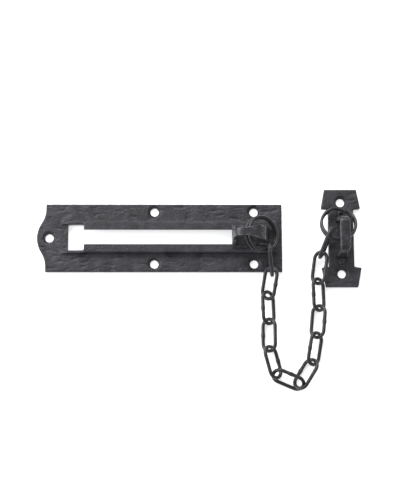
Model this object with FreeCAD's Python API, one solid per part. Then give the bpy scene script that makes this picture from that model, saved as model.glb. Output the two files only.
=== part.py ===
import FreeCAD, Part

import math
import os

from FreeCAD import Placement, Rotation, Vector

# Door chain guard. It lies flat with both plates' backs at z = 0, where a door and
# its frame would be. +X runs along the slot towards the keep, +Y is up the door,
# +Z points out of the plates. The origin is the centre of the slot plate's four
# screw holes, on its back face. Millimetres and degrees.

# ---- slot plate ----
PLATE_THICKNESS = 3.0
PLATE_HALF_HEIGHT = 22.5
PLATE_RIGHT_X = 51.0
PLATE_LEFT_X = -103.5
NOSE_TIP_X = -109.2
NOSE_SHOULDER_Y = 17.5
NOSE_WAIST = (-106.0, 10.2)
NOSE_FLARE = (-104.4, 13.5)
EDGE_ROUND = 0.8

SCREW_X = 32.5
SCREW_Y = 17.25
END_SCREW_X = -101.0
SCREW_HOLE_RADIUS = 2.6
SINK_RADIUS = 4.3
SINK_DEPTH = 1.7

# ---- channel that the slider runs in ----
CHANNEL_TOP_Z = 6.8
CHANNEL_HALF_WIDTH = 11.0
CHANNEL_DRAFT = 0.8
CHANNEL_RIGHT_X = 47.3
LIP_LEFT_X = -78.2
LIP_THICKNESS = 1.8
CAVITY_HALF_WIDTH = 8.5
CAVITY_RIGHT_X = 44.0
ENTRY_LEFT_X = -88.7
SLOT_HALF_WIDTH = 4.7
SLOT_RIGHT_X = 41.5
RAMP_LEFT_X = -94.0
RAMP_TOP_Z = 6.0

# ---- slider ----
SLIDER_X = 31.0
FOOT_HALF_LENGTH = 5.0
FOOT_HALF_WIDTH = 7.8
FOOT_BOTTOM_Z = 2.4
FOOT_TOP_Z = 4.8
NECK_HALF_LENGTH = 4.5
NECK_HALF_WIDTH = 4.4
SADDLE_BOTTOM_Z = 7.0
SADDLE_TOP_Z = 8.4
SADDLE_LEFT_X = 17.8
SADDLE_RIGHT_X = 42.4
SADDLE_HALF_WIDTH = 7.3
SADDLE_NARROW_X = 31.0
SADDLE_NARROW_HALF_WIDTH = 5.0
SADDLE_TAPER = 2.5
STRAP_THICKNESS = 2.3
STRAP_HALF_WIDTH = 2.6
STRAP_TOP_Z = 26.8
STRAP_LEFT_X = 19.2
STRAP_RIGHT_X = 39.5
STRAP_CROWN_LEFT_X = 24.5
STRAP_CROWN_RIGHT_X = 29.5
STRAP_LEFT_BEND_Z = 22.5
STRAP_RIGHT_BEND_Z = 18.5
STRAP_WAIST_Z = 19.0
STRAP_WAIST_X = 26.5
STRAP_FLARE_X = 35.5
STRAP_FLARE_HALF_WIDTH = 4.6

# ---- split rings ----
RING_RADIUS = 11.1
RING_WIRE = 1.9
RING_PITCH = 2.05
RING_STEP_ANGLE = 15
RING_RISE_ANGLE = 45.0
RING_END_GAP = 8.0
SLIDER_RING_END = -85.0
SLIDER_RING_SPREAD = 1.5
KEEP_RING_END = 60.0
KEEP_RING_SPREAD = 0.4
SLIDER_RING_CENTRE = (36.6, 0.0, 16.0)
SLIDER_RING_TILT = 31.0
KEEP_RING_CENTRE = (86.8, 7.8, 10.3)
KEEP_RING_TILT = 17.0

# ---- chain ----
WIRE = 2.35
LINK_WIDTH = 9.6        # between the wire's centre lines
LINK_LENGTH = 20.5      # between the wire's centre lines
LINK_ROLL = 41.0
FIRST_LINK_ROLL = 86.0
LAST_LINK_ROLL = 78.0
KNOT_START = (41.35, -9.6)
KNOT_HIGH_Z = 13.9      # on the slider ring
KNOT_EDGE_Z = 8.6       # beyond the slot plate's edge
KNOT_FLOOR_Z = 4.5
KNOT_RISE_Z = 6.8       # beside the keep plate
KNOT_KEEP_Z = 13.5      # on the keep ring
HEADINGS = (-82, -99, -88, -90, -75, -23, 58, 80, 84.5, 91.5, 82.5, 69)
SLACKS = (3.5, 2.5, 2.2, 1.45, 1.45, 2.1, 2.5, 1.5, 1.45, 1.5, 1.5, 1.75, 3.2)

# ---- keep ----
KEEP_X = 89.6
KEEP_HALF_HEIGHT = 32.5
KEEP_HEAD_Y = 19.5
KEEP_END_HALF_WIDTH = 10.6
KEEP_SHOULDER_HALF_WIDTH = 13.1
KEEP_WAIST_HALF_WIDTH = 8.4
KEEP_SCREW_Y = 23.75
STAPLE_TOP_Z = 20.5
STAPLE_THICKNESS = 2.8
STAPLE_HALF_WIDTH = 3.4
STAPLE_FOOT_HALF_WIDTH = 3.9
STAPLE_FOOT_Y = 13.6
STAPLE_CROWN_Y = 6.5
STAPLE_LEG_Y = 11.8
STAPLE_WAIST_Z = 11.0
STAPLE_BEND_Z = 17.6
BEND_BULGE = 0.19        # 0.207 is a quarter circle
TAB_THICKNESS = 0.8
TAB_HALF_WIDTH = 2.0
RIVET_Y = 16.6
RIVET_RADIUS = 0.9
RIVET_HEAD_RADIUS = 1.5
RIVET_HEAD_HEIGHT = 0.6
RIVET_GAP = 0.02

UP = Vector(0, 0, 1)


def box(x0, x1, y0, y1, z0, z1):
    return Part.makeBox(x1 - x0, y1 - y0, z1 - z0, Vector(x0, y0, z0))


def line(a, b):
    return Part.LineSegment(Vector(*a), Vector(*b)).toShape()


def arc(a, mid, b):
    return Part.Arc(Vector(*a), Vector(*mid), Vector(*b)).toShape()


def polygon(points):
    return Part.Face(Part.makePolygon([Vector(*p) for p in points + points[:1]]))


def sunk_hole(x, y):
    """Cutter for one countersunk screw hole through a plate."""
    hole = Part.makeCylinder(SCREW_HOLE_RADIUS, PLATE_THICKNESS + 2, Vector(x, y, -1))
    sink = Part.makeCone(
        SCREW_HOLE_RADIUS, SINK_RADIUS, SINK_DEPTH, Vector(x, y, PLATE_THICKNESS - SINK_DEPTH)
    )
    mouth = Part.makeCylinder(SINK_RADIUS, 2, Vector(x, y, PLATE_THICKNESS))
    return hole.fuse([sink, mouth])


def top_edges(solid, z):
    """Edges that lie wholly in the plane at height z."""
    return [e for e in solid.Edges if all(abs(v.Z - z) < 1e-6 for v in e.Vertexes)]


def slot_plate_outline():
    """Rectangle whose left end swells into a nose round the end screw."""
    shoulder = (PLATE_LEFT_X, NOSE_SHOULDER_Y, 0)
    waist = (NOSE_WAIST[0], NOSE_WAIST[1], 0)
    flare = (NOSE_FLARE[0], NOSE_FLARE[1], 0)
    low_shoulder = (shoulder[0], -shoulder[1], 0)
    low_waist = (waist[0], -waist[1], 0)
    low_flare = (flare[0], -flare[1], 0)
    corners = [
        (PLATE_LEFT_X, -PLATE_HALF_HEIGHT, 0),
        (PLATE_RIGHT_X, -PLATE_HALF_HEIGHT, 0),
        (PLATE_RIGHT_X, PLATE_HALF_HEIGHT, 0),
        (PLATE_LEFT_X, PLATE_HALF_HEIGHT, 0),
    ]
    edges = [line(low_shoulder, corners[0])]
    edges += [line(a, b) for a, b in zip(corners[:-1], corners[1:])]
    edges.append(line(corners[-1], shoulder))
    edges.append(arc(shoulder, flare, waist))
    edges.append(arc(waist, (NOSE_TIP_X, 0, 0), low_waist))
    edges.append(arc(low_waist, low_flare, low_shoulder))
    return Part.Face(Part.Wire(edges))


def channel_body():
    """Raised, drafted block that the cavity and the slot are cut from."""
    y_low = CHANNEL_HALF_WIDTH
    y_top = CHANNEL_HALF_WIDTH - CHANNEL_DRAFT
    profile = polygon([
        (LIP_LEFT_X, -y_low, 0),
        (LIP_LEFT_X, y_low, 0),
        (LIP_LEFT_X, y_top, CHANNEL_TOP_Z),
        (LIP_LEFT_X, -y_top, CHANNEL_TOP_Z),
    ])
    return profile.extrude(Vector(CHANNEL_RIGHT_X - LIP_LEFT_X, 0, 0))


def entry_wall(side):
    """Low wall beside the entry opening, ramped down to the plate."""
    y_out = side * (CHANNEL_HALF_WIDTH - CHANNEL_DRAFT / 2)
    y_in = side * CAVITY_HALF_WIDTH
    profile = polygon([
        (LIP_LEFT_X, y_in, 0),
        (LIP_LEFT_X, y_in, RAMP_TOP_Z),
        (ENTRY_LEFT_X, y_in, RAMP_TOP_Z - 1.0),
        (RAMP_LEFT_X, y_in, PLATE_THICKNESS),
        (RAMP_LEFT_X, y_in, 0),
    ])
    return profile.extrude(Vector(0, y_out - y_in, 0))


def make_slot_plate():
    plate = slot_plate_outline().extrude(UP * PLATE_THICKNESS)
    plate = plate.makeFillet(EDGE_ROUND, top_edges(plate, PLATE_THICKNESS))
    channel = channel_body()
    channel = channel.makeFillet(EDGE_ROUND, top_edges(channel, CHANNEL_TOP_Z))
    solid = plate.fuse([channel, entry_wall(1), entry_wall(-1)])
    lip_bottom = CHANNEL_TOP_Z - LIP_THICKNESS
    w = CAVITY_HALF_WIDTH
    cutters = [
        box(ENTRY_LEFT_X, CAVITY_RIGHT_X, -w, w, -1, lip_bottom),
        box(ENTRY_LEFT_X, LIP_LEFT_X, -w, w, -1, CHANNEL_TOP_Z + 1),
        box(LIP_LEFT_X - 1, SLOT_RIGHT_X, -SLOT_HALF_WIDTH, SLOT_HALF_WIDTH, 0, CHANNEL_TOP_Z + 1),
        sunk_hole(END_SCREW_X, 0),
    ]
    for x in (-SCREW_X, SCREW_X):
        for y in (-SCREW_Y, SCREW_Y):
            cutters.append(sunk_hole(x, y))
    return solid.cut(cutters)


def bridge_side(feet, legs, crown, bends, base, top, thick):
    """Side view of a bridge strap, in the XZ plane: foot, leg, crown, leg, foot.

    Each pair holds the left and the right x, or the heights where the legs bend over.
    """
    outer = []
    inner = []
    for side, foot, leg, end, bend in zip((1, -1), feet, legs, crown, bends):
        lean = side * thick
        outer.append([(foot, 0, base), (leg, 0, bend), bulge(leg, bend, end, top), (end, 0, top)])
        low = top - thick
        inner_leg = leg + lean
        inner.append([
            (foot + lean, 0, base), (inner_leg, 0, bend), bulge(inner_leg, bend, end, low), (end, 0, low),
        ])
    edges = []
    for side in (outer, inner):
        left, right = side
        edges.append(line(left[0], left[1]))
        edges.append(arc(left[1], left[2], left[3]))
        edges.append(line(left[3], right[3]))
        edges.append(arc(right[3], right[2], right[1]))
        edges.append(line(right[1], right[0]))
    edges.append(line(outer[0][0], inner[0][0]))
    edges.append(line(outer[1][0], inner[1][0]))
    return Part.Face(Part.Wire(Part.__sortEdges__(edges)))


def bulge(leg_x, bend_z, crown_x, top_z):
    """Point half-way round a leg's bend, a little outside the chord of the bend."""
    across = crown_x - leg_x
    rise = top_z - bend_z
    return (leg_x + across * (0.5 - BEND_BULGE), 0, bend_z + rise * (0.5 + BEND_BULGE))


def bridge_front(half_foot, half_strap, base, waist, top):
    """Front view of a bridge strap, in the YZ plane: wide feet drawn in to the strap."""
    def side(sign):
        foot = (0, sign * half_foot, base)
        neck = (0, sign * half_strap, waist)
        rise = 0.3 * (waist - base)
        mid = (0, sign * (half_strap + 0.3 * (half_foot - half_strap)), base + rise)
        return foot, mid, neck

    foot_a, mid_a, neck_a = side(-1)
    foot_b, mid_b, neck_b = side(1)
    edges = [
        line(foot_b, foot_a),
        arc(foot_a, mid_a, neck_a),
        line(neck_a, (0, -half_strap, top)),
        line((0, -half_strap, top), (0, half_strap, top)),
        line((0, half_strap, top), neck_b),
        arc(neck_b, mid_b, foot_b),
    ]
    return Part.Face(Part.Wire(edges))


def strap_plan():
    """Right half of the slider's strap from above, widening from its waist to its foot."""
    edges = []
    for side in (1, -1):
        waist = (STRAP_WAIST_X, side * STRAP_HALF_WIDTH, 0)
        flare = (STRAP_FLARE_X, side * STRAP_FLARE_HALF_WIDTH, 0)
        middle_x = (STRAP_WAIST_X + STRAP_FLARE_X) / 2
        middle_y = 0.6 * STRAP_HALF_WIDTH + 0.4 * STRAP_FLARE_HALF_WIDTH
        foot = (SADDLE_RIGHT_X, side * STRAP_FLARE_HALF_WIDTH, 0)
        edges += [arc(waist, (middle_x, side * middle_y, 0), flare), line(flare, foot)]
    edges.append(line((STRAP_WAIST_X, -STRAP_HALF_WIDTH, 0), (STRAP_WAIST_X, STRAP_HALF_WIDTH, 0)))
    end = STRAP_FLARE_HALF_WIDTH
    edges.append(line((SADDLE_RIGHT_X, -end, 0), (SADDLE_RIGHT_X, end, 0)))
    return Part.Face(Part.Wire(Part.__sortEdges__(edges)))


def make_slider():
    half = SADDLE_HALF_WIDTH
    side = bridge_side(
        (SADDLE_LEFT_X, SADDLE_RIGHT_X), (STRAP_LEFT_X, STRAP_RIGHT_X),
        (STRAP_CROWN_LEFT_X, STRAP_CROWN_RIGHT_X), (STRAP_LEFT_BEND_Z, STRAP_RIGHT_BEND_Z),
        SADDLE_TOP_Z, STRAP_TOP_Z, STRAP_THICKNESS,
    )
    side_block = side.extrude(Vector(0, 2 * half, 0))
    side_block.translate(Vector(0, -half, 0))
    front = bridge_front(half - 0.1, STRAP_HALF_WIDTH, SADDLE_TOP_Z, STRAP_WAIST_Z, STRAP_TOP_Z)
    front_block = front.extrude(Vector(STRAP_WAIST_X - SADDLE_LEFT_X, 0, 0))
    front_block.translate(Vector(SADDLE_LEFT_X, 0, 0))
    left_strap = side_block.common(front_block)
    right_strap = side_block.common(strap_plan().extrude(UP * (STRAP_TOP_Z + 1)))
    narrow = SADDLE_NARROW_HALF_WIDTH
    saddle_outline = [
        (SADDLE_LEFT_X, -half, SADDLE_BOTTOM_Z),
        (SADDLE_NARROW_X - SADDLE_TAPER, -half, SADDLE_BOTTOM_Z),
        (SADDLE_NARROW_X, -narrow, SADDLE_BOTTOM_Z),
        (SADDLE_RIGHT_X, -narrow, SADDLE_BOTTOM_Z),
        (SADDLE_RIGHT_X, narrow, SADDLE_BOTTOM_Z),
        (SADDLE_NARROW_X, narrow, SADDLE_BOTTOM_Z),
        (SADDLE_NARROW_X - SADDLE_TAPER, half, SADDLE_BOTTOM_Z),
        (SADDLE_LEFT_X, half, SADDLE_BOTTOM_Z),
    ]
    saddle = polygon(saddle_outline).extrude(UP * (SADDLE_TOP_Z - SADDLE_BOTTOM_Z))
    neck = box(
        SLIDER_X - NECK_HALF_LENGTH, SLIDER_X + NECK_HALF_LENGTH,
        -NECK_HALF_WIDTH, NECK_HALF_WIDTH, FOOT_TOP_Z, SADDLE_BOTTOM_Z,
    )
    foot = box(
        SLIDER_X - FOOT_HALF_LENGTH, SLIDER_X + FOOT_HALF_LENGTH,
        -FOOT_HALF_WIDTH, FOOT_HALF_WIDTH, FOOT_BOTTOM_Z, FOOT_TOP_Z,
    )
    return saddle.fuse([left_strap, right_strap, neck, foot]).removeSplitter()


def ring_point(degrees, last_angle, end_angle, spread):
    """Point on a split ring's wire; its turns stand a little apart on the ring's -X side."""
    rise_start = 360 - RING_END_GAP - RING_RISE_ANGLE
    f = min(1, max(0, (degrees - rise_start) / RING_RISE_ANGLE))
    turn = 2 * f * f * (3 - 2 * f) - 1
    angle = math.radians(degrees + end_angle - last_angle)
    apart = RING_PITCH + spread * (1 - math.cos(angle)) / 2
    return Vector(RING_RADIUS * math.cos(angle), RING_RADIUS * math.sin(angle), turn * apart / 2)


def make_split_ring(centre, tilt_axis, tilt, end_angle, spread):
    """Two turns of round wire with a short rise between them, tilted about the centre."""
    last_angle = 720 - 2 * RING_END_GAP - RING_RISE_ANGLE
    steps = round(last_angle / RING_STEP_ANGLE)
    points = [
        ring_point(last_angle * i / steps, last_angle, end_angle, spread) for i in range(steps + 1)
    ]
    curve = Part.BSplineCurve()
    curve.interpolate(points)
    edge = curve.toShape()
    section = Part.Wire(Part.makeCircle(RING_WIRE / 2, points[0], edge.tangentAt(edge.FirstParameter)))
    ring = Part.Wire(edge).makePipeShell([section], True, False)
    ring.Placement = Placement(Vector(*centre), Rotation(tilt_axis, tilt))
    return ring


def make_straight_link():
    """One link along X, centred at the origin, flat in the XY plane."""
    radius = LINK_WIDTH / 2
    half = LINK_LENGTH / 2 - radius
    wire = WIRE / 2
    right = Part.makeTorus(radius, wire, Vector(half, 0, 0), UP, -180, 180, 180)
    right.rotate(Vector(half, 0, 0), UP, -90)
    left = Part.makeTorus(radius, wire, Vector(-half, 0, 0), UP, -180, 180, 180)
    left.rotate(Vector(-half, 0, 0), UP, 90)
    sides = [
        Part.makeCylinder(wire, 2 * half, Vector(-half, y, 0), Vector(1, 0, 0))
        for y in (-radius, radius)
    ]
    return right.fuse([left] + sides).removeSplitter()


def knot_heights():
    middle = [KNOT_FLOOR_Z] * (len(HEADINGS) - 3)
    return [KNOT_HIGH_Z, KNOT_EDGE_Z] + middle + [KNOT_RISE_Z, KNOT_KEEP_Z]


def chain_poses():
    """Walk along the chain: start point, rise and heading of each link, with its roll."""
    heights = knot_heights()
    last = len(HEADINGS) - 1
    x, y = KNOT_START
    poses = []
    for i, heading in enumerate(HEADINGS):
        reach = LINK_LENGTH - SLACKS[i] - SLACKS[i + 1]
        slope = math.asin((heights[i + 1] - heights[i]) / reach)
        direction = Vector(
            math.cos(slope) * math.cos(math.radians(heading)),
            math.cos(slope) * math.sin(math.radians(heading)),
            math.sin(slope),
        )
        start = Vector(x, y, heights[i])
        size = {0: FIRST_LINK_ROLL, last: LAST_LINK_ROLL}.get(i, LINK_ROLL)
        roll = -size if i % 2 == 0 else size
        poses.append((start, direction, roll, SLACKS[i]))
        end = start + direction * reach
        x, y = end.x, end.y
    return poses


def place_link(shape, start, direction, roll, slack):
    lateral = UP.cross(direction).normalize()
    normal = direction.cross(lateral)
    angle = math.radians(roll)
    side = lateral * math.cos(angle) + normal * math.sin(angle)
    upright = direction.cross(side)
    turn = FreeCAD.Matrix(
        direction.x, side.x, upright.x, 0,
        direction.y, side.y, upright.y, 0,
        direction.z, side.z, upright.z, 0,
        0, 0, 0, 1,
    )
    placed = shape.copy()
    centre = start + direction * (LINK_LENGTH / 2 - slack)
    placed.Placement = Placement(centre, Placement(turn).Rotation)
    return placed


def make_keep_plate():
    points = []
    for side in (1, -1):
        quarter = [
            (KEEP_WAIST_HALF_WIDTH, KEEP_HEAD_Y - 0.6),
            (KEEP_SHOULDER_HALF_WIDTH, KEEP_HEAD_Y),
            (KEEP_END_HALF_WIDTH, KEEP_HALF_HEIGHT),
        ]
        points += [(KEEP_X + side * x, side * y, 0) for x, y in quarter]
        points += [(KEEP_X - side * x, side * y, 0) for x, y in reversed(quarter)]
    solid = polygon(points).extrude(UP * PLATE_THICKNESS)
    solid = solid.makeChamfer(EDGE_ROUND / 2, top_edges(solid, PLATE_THICKNESS))
    cutters = [sunk_hole(KEEP_X, y) for y in (-KEEP_SCREW_Y, KEEP_SCREW_Y)]
    for y in (-RIVET_Y, RIVET_Y):
        cutters.append(Part.makeCylinder(RIVET_RADIUS, PLATE_THICKNESS + 2, Vector(KEEP_X, y, -1)))
    return solid.cut(cutters)


def make_keep_staple():
    """Bridge strap along Y, with a riveted tab at each foot."""
    base = PLATE_THICKNESS
    side = bridge_side(
        (-STAPLE_FOOT_Y, STAPLE_FOOT_Y), (-STAPLE_LEG_Y, STAPLE_LEG_Y),
        (-STAPLE_CROWN_Y, STAPLE_CROWN_Y), (STAPLE_BEND_Z, STAPLE_BEND_Z),
        base, STAPLE_TOP_Z, STAPLE_THICKNESS,
    )
    wide = 2 * STAPLE_FOOT_HALF_WIDTH
    side_block = side.extrude(Vector(0, wide, 0))
    side_block.translate(Vector(0, -wide / 2, 0))
    front = bridge_front(
        STAPLE_FOOT_HALF_WIDTH - 0.05, STAPLE_HALF_WIDTH, base, STAPLE_WAIST_Z, STAPLE_TOP_Z
    )
    front_block = front.extrude(Vector(2 * STAPLE_FOOT_Y, 0, 0))
    front_block.translate(Vector(-STAPLE_FOOT_Y, 0, 0))
    strap = side_block.common(front_block)
    strap.rotate(Vector(0, 0, 0), UP, 90)
    tab_end = RIVET_Y + 0.4
    inner = STAPLE_FOOT_Y - STAPLE_THICKNESS
    tabs = []
    for side_sign in (1, -1):
        y0, y1 = sorted((side_sign * inner, side_sign * tab_end))
        tab = box(-TAB_HALF_WIDTH, TAB_HALF_WIDTH, y0, y1, base, base + TAB_THICKNESS)
        end = Part.makeCylinder(TAB_HALF_WIDTH, TAB_THICKNESS, Vector(0, side_sign * tab_end, base))
        tabs += [tab, end]
    staple = strap.fuse(tabs)
    holes = [
        Part.makeCylinder(RIVET_RADIUS, 2 * TAB_THICKNESS, Vector(0, y, base - 0.5))
        for y in (-RIVET_Y, RIVET_Y)
    ]
    staple = staple.cut(holes).removeSplitter()
    staple.translate(Vector(KEEP_X, 0, 0))
    return staple


def make_rivet(y):
    """Round-headed rivet through the staple's tab and the keep plate."""
    seat = PLATE_THICKNESS + TAB_THICKNESS
    shank = Part.makeCylinder(RIVET_RADIUS - RIVET_GAP, seat + 0.2, Vector(KEEP_X, y, 0))
    ball = (RIVET_HEAD_RADIUS ** 2 + RIVET_HEAD_HEIGHT ** 2) / (2 * RIVET_HEAD_HEIGHT)
    sphere = Part.makeSphere(ball, Vector(KEEP_X, y, seat + RIVET_HEAD_HEIGHT - ball))
    cap = Part.makeCylinder(RIVET_HEAD_RADIUS + 1, RIVET_HEAD_HEIGHT + 1, Vector(KEEP_X, y, seat))
    return shank.fuse(sphere.common(cap)).removeSplitter()


def write(name, shape):
    solids = shape.Solids
    assert shape.isValid(), name
    assert len(solids) == 1, name
    solids[0].exportStep("parts/" + name + ".step")
    print(name, "volume", round(shape.Volume, 2))


os.makedirs("parts", exist_ok=True)
write("slot_plate", make_slot_plate())
write("slider", make_slider())
slider_ring = make_split_ring(
    SLIDER_RING_CENTRE, Vector(0, 1, 0), SLIDER_RING_TILT, SLIDER_RING_END, SLIDER_RING_SPREAD
)
write("slider_ring", slider_ring)
straight_link = make_straight_link()
for number, pose in enumerate(chain_poses(), start=1):
    write("chain_link_%02d" % number, place_link(straight_link, *pose))
keep_ring = make_split_ring(
    KEEP_RING_CENTRE, Vector(-1, 0, 0), KEEP_RING_TILT, KEEP_RING_END, KEEP_RING_SPREAD
)
write("keep_ring", keep_ring)
write("keep_plate", make_keep_plate())
write("keep_staple", make_keep_staple())
write("staple_rivet_upper", make_rivet(RIVET_Y))
write("staple_rivet_lower", make_rivet(-RIVET_Y))
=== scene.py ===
import math

import bmesh
import bpy
import numpy as np
from mathutils import Matrix, Vector, noise


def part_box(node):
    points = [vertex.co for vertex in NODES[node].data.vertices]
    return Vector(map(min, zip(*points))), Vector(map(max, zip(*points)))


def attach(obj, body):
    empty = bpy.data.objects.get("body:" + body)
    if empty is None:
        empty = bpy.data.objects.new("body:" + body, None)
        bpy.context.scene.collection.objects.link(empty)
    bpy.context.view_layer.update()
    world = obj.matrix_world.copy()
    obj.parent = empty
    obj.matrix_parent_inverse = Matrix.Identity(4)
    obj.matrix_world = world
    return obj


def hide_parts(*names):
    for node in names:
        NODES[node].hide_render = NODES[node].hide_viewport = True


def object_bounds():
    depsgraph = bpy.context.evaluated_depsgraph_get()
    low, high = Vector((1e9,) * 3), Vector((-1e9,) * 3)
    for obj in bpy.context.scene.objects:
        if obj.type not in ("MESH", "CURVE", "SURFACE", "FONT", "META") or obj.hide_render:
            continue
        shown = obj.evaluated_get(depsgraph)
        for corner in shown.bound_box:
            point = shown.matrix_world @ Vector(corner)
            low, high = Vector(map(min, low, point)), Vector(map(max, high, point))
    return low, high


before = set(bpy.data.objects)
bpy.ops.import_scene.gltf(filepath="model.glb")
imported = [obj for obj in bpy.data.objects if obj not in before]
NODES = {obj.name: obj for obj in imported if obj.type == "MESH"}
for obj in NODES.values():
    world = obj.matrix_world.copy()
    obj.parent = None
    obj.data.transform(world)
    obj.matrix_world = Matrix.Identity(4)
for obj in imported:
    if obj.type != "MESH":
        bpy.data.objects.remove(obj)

CAD_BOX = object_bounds()
MM = 0.001
LINK_NODES = sorted(n for n in NODES if n.startswith("chain_link_"))
STAPLE_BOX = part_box("keep_staple")

WELD_DISTANCE = 0.002       # mm, between the split corners of a CAD mesh
BACK_Z = 0.35               # mm, height up to which a plate counts as its back
RAIL_Z = 3.4                # mm, height above which the slot plate is its rails
CROWN_Z = 8.0               # mm, height above which the staple is its strap
# Speckle weight and spread of the lighter edge colour, which is partly rubbed wear and partly a painted
# highlight
EDGE_WEAR_HIGHLIGHT_SPECKLE = 0.16
EDGE_WEAR_HIGHLIGHT_SPREAD = 0.09
STAPLE_DRAW = 0.42

FLOOR_HALF = 3.0            # m
FLOOR_GAP = 0.02            # mm
WORLD_STRENGTH = 0.5
SENSOR = 36.0
LENS_PER_SENSOR = 1.8625
CAMERA_PLACE = (-0.0107, -0.1129, 0.6)
CAMERA_LEAN = 8.42          # degrees about X
CAMERA_ROLL = -0.75         # degrees about Y
CAMERA_SHIFT = 0.05


# ---------------------------------------------------------------- materials

def add_node(tree, kind, **inputs):
    """One shader node with its unlinked sockets set by name."""
    node = tree.nodes.new(kind)
    for key, value in inputs.items():
        node.inputs[key.replace("_", " ")].default_value = value
    return node


def ramp_between(tree, source, low, high, colour_low, colour_high):
    """Colour ramp from one colour to the other as the source goes from low to high."""
    ramp = tree.nodes.new("ShaderNodeValToRGB")
    ramp.color_ramp.elements[0].position = low
    ramp.color_ramp.elements[1].position = high
    ramp.color_ramp.elements[0].color = (*colour_low, 1)
    ramp.color_ramp.elements[1].color = (*colour_high, 1)
    tree.links.new(source, ramp.inputs["Fac"])
    return ramp.outputs["Color"]


def noise_output(tree, coordinates, scale, detail=4.0, roughness=0.55):
    node = add_node(tree, "ShaderNodeTexNoise", Scale=scale, Detail=detail, Roughness=roughness)
    tree.links.new(coordinates, node.inputs["Vector"])
    return node.outputs["Fac"]


def stacked_bump(tree, source, strength, distance, below=None):
    bump = add_node(tree, "ShaderNodeBump", Strength=strength, Distance=distance)
    tree.links.new(source, bump.inputs["Height"])
    if below is not None:
        tree.links.new(below, bump.inputs["Normal"])
    return bump.outputs["Normal"]


def lacquered_iron(name, dark, light, worn_and_highlight, rough, grain, grain_depth, pit_depth, wear_highlight_from):
    """Black lacquer on iron: mottled colour, uneven gloss, grain, pits, and edges painted lighter,
    partly as rubbed wear and partly as a painted highlight.
    """
    material = bpy.data.materials.new(name)
    material.use_nodes = True
    tree = material.node_tree
    shader = tree.nodes["Principled BSDF"]
    shader.inputs["Metallic"].default_value = 0.0
    shader.inputs["IOR"].default_value = 1.5
    place = tree.nodes.new("ShaderNodeTexCoord").outputs["Object"]

    mottle = noise_output(tree, place, 140.0)
    colour = ramp_between(tree, mottle, 0.35, 0.68, dark, light)

    # Convex edges (pointiness) take the lighter colour: partly rubbed wear, partly a painted highlight
    # along the edges
    curve = tree.nodes.new("ShaderNodeNewGeometry").outputs["Pointiness"]
    edge_speckle = noise_output(tree, place, 420.0, detail=6.0)
    edge = tree.nodes.new("ShaderNodeMath")
    edge.operation = "MULTIPLY_ADD"
    edge.inputs[1].default_value = EDGE_WEAR_HIGHLIGHT_SPECKLE
    tree.links.new(edge_speckle, edge.inputs[0])
    tree.links.new(curve, edge.inputs[2])
    wear_highlight_mask = ramp_between(tree, edge.outputs[0], wear_highlight_from, wear_highlight_from + EDGE_WEAR_HIGHLIGHT_SPREAD, (0, 0, 0), (1, 1, 1))
    wear_highlight_blend = tree.nodes.new("ShaderNodeMix")
    wear_highlight_blend.data_type = "RGBA"
    tree.links.new(wear_highlight_mask, wear_highlight_blend.inputs["Factor"])
    tree.links.new(colour, wear_highlight_blend.inputs["A"])
    wear_highlight_blend.inputs["B"].default_value = (*worn_and_highlight, 1)
    tree.links.new(wear_highlight_blend.outputs["Result"], shader.inputs["Base Color"])

    gloss = noise_output(tree, place, 260.0, detail=3.0)
    low, high = rough
    gloss_ramp = ramp_between(tree, gloss, 0.3, 0.7, (low,) * 3, (high,) * 3)
    tree.links.new(gloss_ramp, shader.inputs["Roughness"])

    grains = noise_output(tree, place, grain, detail=6.0, roughness=0.65)
    relief = stacked_bump(tree, grains, 0.6, grain_depth)
    pits = add_node(tree, "ShaderNodeTexVoronoi", Scale=grain * 0.55, Randomness=1.0)
    tree.links.new(place, pits.inputs["Vector"])
    hollow = ramp_between(tree, pits.outputs["Distance"], 0.05, 0.42, (0, 0, 0), (1, 1, 1))
    relief = stacked_bump(tree, hollow, 0.5, pit_depth, relief)
    tree.links.new(relief, shader.inputs["Normal"])
    return material


def make_materials():
    casting = lacquered_iron(
        "black_casting_rough",
        dark=(0.011, 0.011, 0.014), light=(0.036, 0.035, 0.043), worn_and_highlight=(0.13, 0.13, 0.15),
        rough=(0.40, 0.64), grain=900.0, grain_depth=0.00042, pit_depth=0.00030, wear_highlight_from=0.615,
    )
    # The forged staple and slider get the lightest edges: a painted highlight along their rounded edges
    # as well as wear
    forged = lacquered_iron(
        "black_forged_satin",
        dark=(0.011, 0.011, 0.013), light=(0.027, 0.027, 0.032), worn_and_highlight=(0.17, 0.17, 0.19),
        rough=(0.28, 0.46), grain=700.0, grain_depth=0.00010, pit_depth=0.00006, wear_highlight_from=0.585,
    )
    wire = lacquered_iron(
        "black_wire_satin",
        dark=(0.012, 0.012, 0.013), light=(0.026, 0.026, 0.029), worn_and_highlight=(0.08, 0.08, 0.085),
        rough=(0.28, 0.46), grain=1100.0, grain_depth=0.00008, pit_depth=0.00005, wear_highlight_from=0.70,
    )
    return {"casting": casting, "forged": forged, "wire": wire}


# ---------------------------------------------------------------- mesh tools

def clean_copy(node):
    """A CAD node's mesh with its split corners welded, in a new mesh."""
    mesh = NODES[node].data.copy()
    work = bmesh.new()
    work.from_mesh(mesh)
    bmesh.ops.remove_doubles(work, verts=work.verts, dist=WELD_DISTANCE * MM)
    work.to_mesh(mesh)
    work.free()
    mesh.materials.clear()
    return mesh


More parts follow.
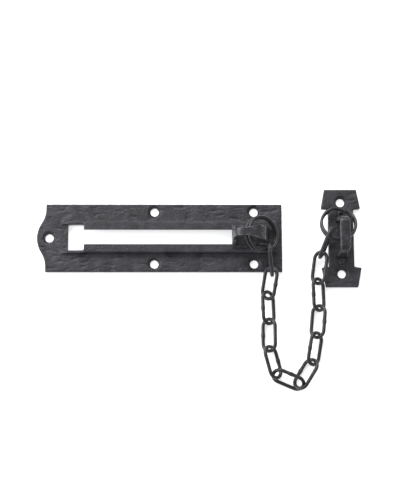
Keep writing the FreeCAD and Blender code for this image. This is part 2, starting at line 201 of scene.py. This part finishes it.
def even_skin(node, name, cell, passes):
    """An even quad skin over a CAD node, its arrises softened as a casting's are."""
    source = bpy.data.objects.new(name + "_source", clean_copy(node))
    bpy.context.scene.collection.objects.link(source)
    remesh = source.modifiers.new("skin", "REMESH")
    remesh.mode = "VOXEL"
    remesh.voxel_size = cell * MM
    soften = source.modifiers.new("soften", "SMOOTH")
    soften.factor = 0.5
    soften.iterations = passes
    graph = bpy.context.evaluated_depsgraph_get()
    mesh = bpy.data.meshes.new_from_object(source.evaluated_get(graph))
    bpy.data.objects.remove(source)
    mesh.name = name
    piece = bpy.data.objects.new(name, mesh)
    bpy.context.scene.collection.objects.link(piece)
    return piece


def press_in(piece, depth_at):
    """Moves each point inwards by depth_at(point, normal), with point and depth in mm."""
    mesh = piece.data
    count = len(mesh.vertices)
    places = np.empty(count * 3)
    normals = np.empty(count * 3)
    mesh.vertices.foreach_get("co", places)
    mesh.vertices.foreach_get("normal", normals)
    places = places.reshape(-1, 3)
    normals = normals.reshape(-1, 3)
    depths = np.array([depth_at(Vector(p / MM), Vector(n)) for p, n in zip(places, normals)])
    places = places - normals * depths[:, None] * MM
    mesh.vertices.foreach_set("co", places.ravel())
    mesh.update()


def step_up(value, low, high):
    """0 below low, 1 above high, and smooth between."""
    f = min(1.0, max(0.0, (value - low) / (high - low)))
    return f * f * (3 - 2 * f)


def round_staple_ends(piece):
    """Draws the strap in where it bends down, so that its crown has round ends."""
    low, high = STAPLE_BOX
    middle = (low.x + high.x) / 2
    for vertex in piece.data.vertices:
        y, z = abs(vertex.co.y) / MM, vertex.co.z / MM
        drawn_in = STAPLE_DRAW * step_up(y, 7.0, 13.5) * step_up(z, 7.0, 15.0)
        vertex.co.x = middle + (vertex.co.x - middle) * (1 - drawn_in)
    piece.data.update()


def finish_piece(piece, material, node, body):
    piece.data.materials.clear()
    piece.data.materials.append(material)
    piece.data.shade_smooth()
    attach(piece, body)
    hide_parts(node)


# ---------------------------------------------------------------- castings

def lumps(point, seed):
    """Uneven cast surface from 0 at its highest to about 1 at its lowest."""
    shifted = point + Vector((seed * 31.7, seed * 17.3, seed * 7.9))
    broad = noise.noise(shifted * 0.16)
    middle = noise.noise(shifted * 0.55)
    fine = noise.noise(shifted * 1.5)
    return 0.5 + 0.34 * broad + 0.32 * middle + 0.22 * fine


def scars(point, seed):
    """Long irregular hollows left by the mould, along the plate, from 0 to 1."""
    stretched = Vector((point.x * 0.16, point.y * 0.42, point.z * 0.3 + seed * 11.0))
    return min(1.0, max(0.0, noise.noise(stretched) - 0.22) * 4.0)


def slot_plate_depth(point, normal):
    if point.z < BACK_Z:
        return 0.06 * lumps(point, 1)
    if point.z > RAIL_Z:
        return 0.02 + 0.09 * lumps(point * 0.6, 2)
    facing = max(0.0, normal.z)
    return 0.05 + 0.20 * lumps(point, 3) + 0.34 * facing * scars(point, 4)


def keep_plate_depth(point, normal):
    if point.z < BACK_Z:
        return 0.05 * lumps(point, 5)
    facing = max(0.0, normal.z)
    return 0.05 + 0.17 * lumps(point, 6) + 0.22 * facing * scars(point, 7)


def slider_depth(point, normal):
    return 0.02 + 0.10 * lumps(point * 0.8, 8)


def staple_depth(point, normal):
    """The staple's strap is crowned, as forged bar is: its long edges fall away."""
    low, high = STAPLE_BOX
    half = (high.x - low.x) / 2 / MM
    off_centre = abs(point.x - (high.x + low.x) / 2 / MM) / half
    crown = 0.75 * off_centre ** 4 if point.z > CROWN_Z and normal.z > 0.1 else 0.0
    return 0.02 + crown * normal.z + 0.12 * lumps(point * 0.7, 8)


def make_castings(materials):
    casting, forged = materials["casting"], materials["forged"]
    plate = even_skin("slot_plate", "slot_plate_casting", 0.40, 3)
    press_in(plate, slot_plate_depth)
    finish_piece(plate, casting, "slot_plate", "fixed_plates")
    keep = even_skin("keep_plate", "keep_plate_casting", 0.34, 3)
    press_in(keep, keep_plate_depth)
    finish_piece(keep, casting, "keep_plate", "fixed_plates")
    staple = even_skin("keep_staple", "keep_staple_forging", 0.26, 26)
    round_staple_ends(staple)
    press_in(staple, staple_depth)
    finish_piece(staple, forged, "keep_staple", "fixed_plates")
    slider = even_skin("slider", "slider_forging", 0.24, 5)
    press_in(slider, slider_depth)
    finish_piece(slider, forged, "slider", "slider")
    for node in ("staple_rivet_upper", "staple_rivet_lower"):
        rivet = even_skin(node, node + "_head", 0.10, 3)
        press_in(rivet, lambda point, normal: 0.05 * lumps(point * 2.0, 9))
        finish_piece(rivet, forged, node, "fixed_plates")


# ---------------------------------------------------------------- chain

def main_axes(node):
    """Centre, axes from longest to shortest, and half sizes along them, of a CAD node."""
    mesh = NODES[node].data
    mesh.calc_loop_triangles()
    points = np.array([v.co for v in mesh.vertices])
    triangles = np.array([t.vertices for t in mesh.loop_triangles])
    corners = points[triangles]
    areas = np.linalg.norm(
        np.cross(corners[:, 1] - corners[:, 0], corners[:, 2] - corners[:, 0]), axis=1
    )
    middles = corners.mean(axis=1)
    centre = np.average(middles, axis=0, weights=areas)
    spread = (middles - centre).T @ ((middles - centre) * areas[:, None])
    _, vectors = np.linalg.eigh(spread)
    axes = [vectors[:, 2], vectors[:, 1], vectors[:, 0]]
    halves = []
    for axis in axes:
        along = (points - centre) @ axis
        centre = centre + axis * (along.max() + along.min()) / 2
        halves.append((along.max() - along.min()) / 2)
    return centre, axes, halves


def stadium(half_length, radius, steps):
    """Points and outward directions round a link's centre line, evenly spaced."""
    straight = 2 * (half_length - radius)
    bend = math.pi * radius
    total = 2 * straight + 2 * bend
    points = []
    for i in range(steps):
        run = total * i / steps
        if run < straight:
            points.append((run - straight / 2, -radius, 0, -1))
        elif run < straight + bend:
            turn = (run - straight) / radius - math.pi / 2
            across, up = math.cos(turn), math.sin(turn)
            points.append((straight / 2 + radius * across, radius * up, across, up))
        elif run < 2 * straight + bend:
            points.append((straight / 2 - (run - straight - bend), radius, 0, 1))
        else:
            turn = (run - 2 * straight - bend) / radius + math.pi / 2
            across, up = math.cos(turn), math.sin(turn)
            points.append((-straight / 2 + radius * across, radius * up, across, up))
    return points


def tube(name, centres, sides, closed, around=20):
    """Skin of rings of points; sides gives each ring's two directions with their radii."""
    vertices = []
    for centre, (first, second) in zip(centres, sides):
        for k in range(around):
            angle = 2 * math.pi * k / around
            vertices.append(centre + first * math.cos(angle) + second * math.sin(angle))
    rings = len(centres)
    faces = []
    for i in range(rings if closed else rings - 1):
        for k in range(around):
            a, b = i * around + k, i * around + (k + 1) % around
            c, d = ((i + 1) % rings) * around + (k + 1) % around, ((i + 1) % rings) * around + k
            faces.append((a, b, c, d))
    mesh = bpy.data.meshes.new(name)
    mesh.from_pydata([tuple(v) for v in vertices], [], faces)
    work = bmesh.new()
    work.from_mesh(mesh)
    if not closed:
        open_edges = [e for e in work.edges if e.is_boundary]
        bmesh.ops.holes_fill(work, edges=open_edges)
    bmesh.ops.recalc_face_normals(work, faces=work.faces)
    work.to_mesh(mesh)
    work.free()
    piece = bpy.data.objects.new(name, mesh)
    bpy.context.scene.collection.objects.link(piece)
    return piece


WELD_SIDES = (1, 1, -1, -1, 1, 1, -1, -1, 1, -1, 1, 1)
WELD_SWELL = 0.26           # of the wire's radius
WELD_LENGTH = 0.55          # of the wire's diameter
COLLAR_HEIGHT = 0.10
COLLAR_SHARE = 0.4
LINK_STEPS = 120


def make_link(node, number, material):
    """Bent wire link with the swelling of its butt weld half-way along one side."""
    centre, (long_axis, wide_axis, thin_axis), (half, wide, wire) = main_axes(node)
    if wide_axis @ np.array([1.0, 0.3, 0.1]) < 0:
        wide_axis = -wide_axis
    weld_side = WELD_SIDES[number]
    centres, sides = [], []
    for along, across, out_along, out_across in stadium(half - wire, wide - wire, LINK_STEPS):
        near_weld = math.exp(-(along / (WELD_LENGTH * 2 * wire)) ** 2)
        swell = WELD_SWELL * near_weld if across * weld_side > 0.9 * (wide - wire) else 0.0
        collar = COLLAR_HEIGHT * math.exp(-((abs(along) - 1.7 * wire) / (0.3 * wire)) ** 2) * (swell > 0)
        point = centre + long_axis * along + wide_axis * across
        dents = 0.025 * noise.noise(Vector(point) / MM * 0.7)
        radius = wire * (1 + swell - collar * COLLAR_SHARE + dents)
        outward = long_axis * out_along + wide_axis * out_across
        centres.append(point)
        sides.append((outward * radius, thin_axis * wire * (1 + swell * 0.6 + dents)))
    piece = tube("weld_link_%02d" % (number + 1), centres, sides, True)
    finish_piece(piece, material, node, "link_%02d" % (number + 1))


def make_chain(material):
    for number, node in enumerate(LINK_NODES):
        make_link(node, number, material)


def dress_rings(material):
    """The split rings keep their CAD shape and take the wire's finish."""
    for node in ("slider_ring", "keep_ring"):
        mesh = NODES[node].data
        mesh.materials.clear()
        mesh.materials.append(material)


# ---------------------------------------------------------------- studio

def area_light(name, place, target, size, power, colour=(1, 1, 1)):
    data = bpy.data.lights.new(name, "AREA")
    data.shape = "RECTANGLE"
    data.size, data.size_y = size
    data.energy = power
    data.color = colour
    light = bpy.data.objects.new(name, data)
    light.location = place
    light.rotation_euler = (Vector(target) - Vector(place)).to_track_quat("-Z", "Y").to_euler()
    bpy.context.scene.collection.objects.link(light)


def make_floor(low_z):
    half = FLOOR_HALF
    mesh = bpy.data.meshes.new("studio_floor")
    z = low_z - FLOOR_GAP * MM
    corners = [(-half, -half, z), (half, -half, z), (half, half, z), (-half, half, z)]
    mesh.from_pydata(corners, [], [(0, 1, 2, 3)])
    material = bpy.data.materials.new("studio_white")
    material.use_nodes = True
    shader = material.node_tree.nodes["Principled BSDF"]
    shader.inputs["Base Color"].default_value = (0.93, 0.93, 0.93, 1)
    shader.inputs["Roughness"].default_value = 0.9
    shader.inputs["Specular IOR Level"].default_value = 0.1
    shader.inputs["Emission Color"].default_value = (1, 1, 1, 1)
    shader.inputs["Emission Strength"].default_value = 0.55
    mesh.materials.append(material)
    floor = bpy.data.objects.new("studio_floor", mesh)
    bpy.context.scene.collection.objects.link(floor)


def make_world():
    world = bpy.data.worlds.new("studio")
    world.use_nodes = True
    world.node_tree.nodes["Background"].inputs["Color"].default_value = (1, 1, 1, 1)
    world.node_tree.nodes["Background"].inputs["Strength"].default_value = WORLD_STRENGTH
    bpy.context.scene.world = world
    bpy.context.scene.view_settings.view_transform = "Standard"


def make_camera():
    """Camera nearly overhead, a little towards the viewer's side, as in a catalogue shot."""
    data = bpy.data.cameras.new("catalogue_camera")
    data.sensor_width = SENSOR
    data.lens = SENSOR * LENS_PER_SENSOR
    data.shift_y = CAMERA_SHIFT
    data.clip_start, data.clip_end = 0.01, 10.0
    camera = bpy.data.objects.new("catalogue_camera", data)
    camera.location = CAMERA_PLACE
    lean = Matrix.Rotation(math.radians(CAMERA_LEAN), 4, "X")
    roll = Matrix.Rotation(math.radians(CAMERA_ROLL), 4, "Y")
    camera.matrix_world = Matrix.Translation(camera.location) @ (lean @ roll)
    bpy.context.scene.collection.objects.link(camera)
    bpy.context.scene.camera = camera


materials = make_materials()
make_castings(materials)
make_chain(materials["wire"])
dress_rings(materials["wire"])
make_floor(CAD_BOX[0].z)
make_world()
area_light("softbox_above", (-0.20, 0.70, 0.70), (0, 0, 0), (0.9, 0.4), 9.0)
area_light("softbox_left", (-0.85, 0.05, 0.45), (-0.05, 0, 0), (0.4, 0.7), 6.0, (0.90, 0.93, 1.0))
make_camera()
